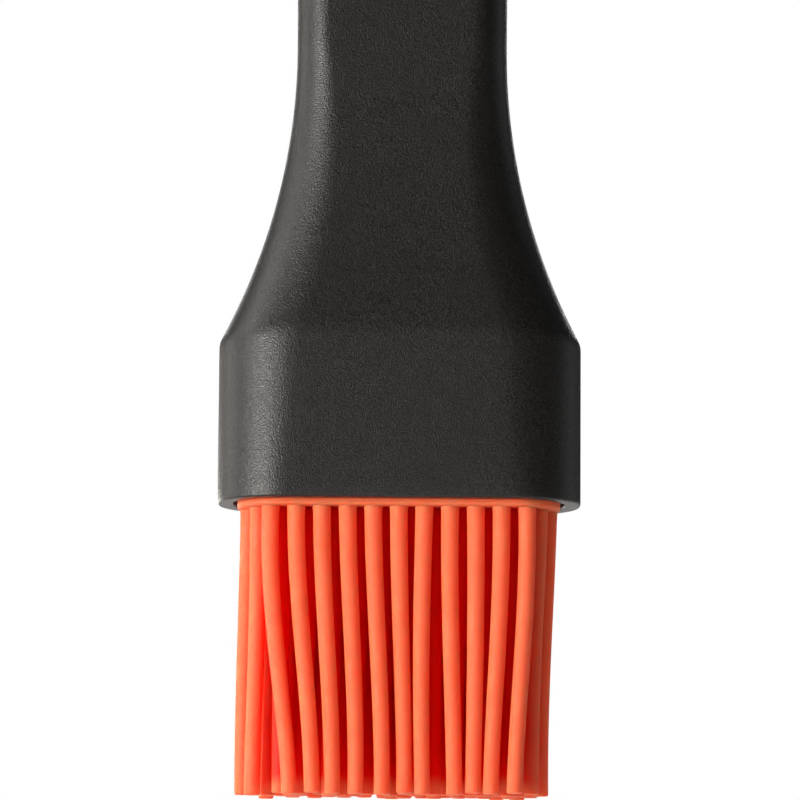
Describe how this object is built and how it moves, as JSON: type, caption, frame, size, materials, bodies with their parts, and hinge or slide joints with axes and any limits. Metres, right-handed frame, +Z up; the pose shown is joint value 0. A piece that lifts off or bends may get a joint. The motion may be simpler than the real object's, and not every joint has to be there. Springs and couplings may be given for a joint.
{
  "type": "pastry brush",
  "caption": "Narrow kitchen basting brush: a waisted black handle with a hanging slot, flared into a rounded socket block that holds a coral silicone bristle head.",
  "frame": {"origin": "centre of the hanging slot near the handle's upper end, half way through its thickness", "axes": "+Z up along the handle, away from the bristles; +X across the head's width; +Y out of the back face, so the front faces -Y"},
  "size_m": [0.0362, 0.0154, 0.2116],
  "materials": {
    "black_nylon": "spark-grained matte moulded nylon, warm black",
    "core_nylon": "plain moulded natural nylon, off-white",
    "coral_silicone": "satin-matte coral orange silicone rubber, slightly translucent"
  },
  "bodies": {
    "handle": {"handle": "black_nylon"},
    "bristle_head": {"silicone_base": "coral_silicone", "head_core": "core_nylon"},
    "row_1": {"bristle_row_1": "coral_silicone"},
    "row_2": {"bristle_row_2": "coral_silicone"},
    "row_3": {"bristle_row_3": "coral_silicone"},
    "row_4": {"bristle_row_4": "coral_silicone"},
    "row_5": {"bristle_row_5": "coral_silicone"}
  },
  "joints": [
    {"name": "head_pull", "type": "slide", "parent": "handle", "child": "bristle_head", "axis": [0, 0, -1], "range_m": [0, 0.0127]},
    {"name": "bristle_bend_1", "type": "hinge", "parent": "bristle_head", "child": "row_1", "pos_m": [0, -0.00438, -0.17055], "axis": [1, 0, 0], "range_deg": [-35, 35], "stiffness_Nm_per_rad": 0.0016},
    {"name": "bristle_bend_2", "type": "hinge", "parent": "bristle_head", "child": "row_2", "pos_m": [0, -0.00219, -0.17055], "axis": [1, 0, 0], "range_deg": [-35, 35], "stiffness_Nm_per_rad": 0.0016},
    {"name": "bristle_bend_3", "type": "hinge", "parent": "bristle_head", "child": "row_3", "pos_m": [0, 0, -0.17055], "axis": [1, 0, 0], "range_deg": [-35, 35], "stiffness_Nm_per_rad": 0.0016},
    {"name": "bristle_bend_4", "type": "hinge", "parent": "bristle_head", "child": "row_4", "pos_m": [0, 0.00219, -0.17055], "axis": [1, 0, 0], "range_deg": [-35, 35], "stiffness_Nm_per_rad": 0.0016},
    {"name": "bristle_bend_5", "type": "hinge", "parent": "bristle_head", "child": "row_5", "pos_m": [0, 0.00438, -0.17055], "axis": [1, 0, 0], "range_deg": [-35, 35], "stiffness_Nm_per_rad": 0.0016}
  ],
  "couplings": [
    {"joint": "bristle_bend_1", "follows": "bristle_bend_3", "ratio": 1},
    {"joint": "bristle_bend_2", "follows": "bristle_bend_3", "ratio": 1},
    {"joint": "bristle_bend_4", "follows": "bristle_bend_3", "ratio": 1},
    {"joint": "bristle_bend_5", "follows": "bristle_bend_3", "ratio": 1}
  ]
}
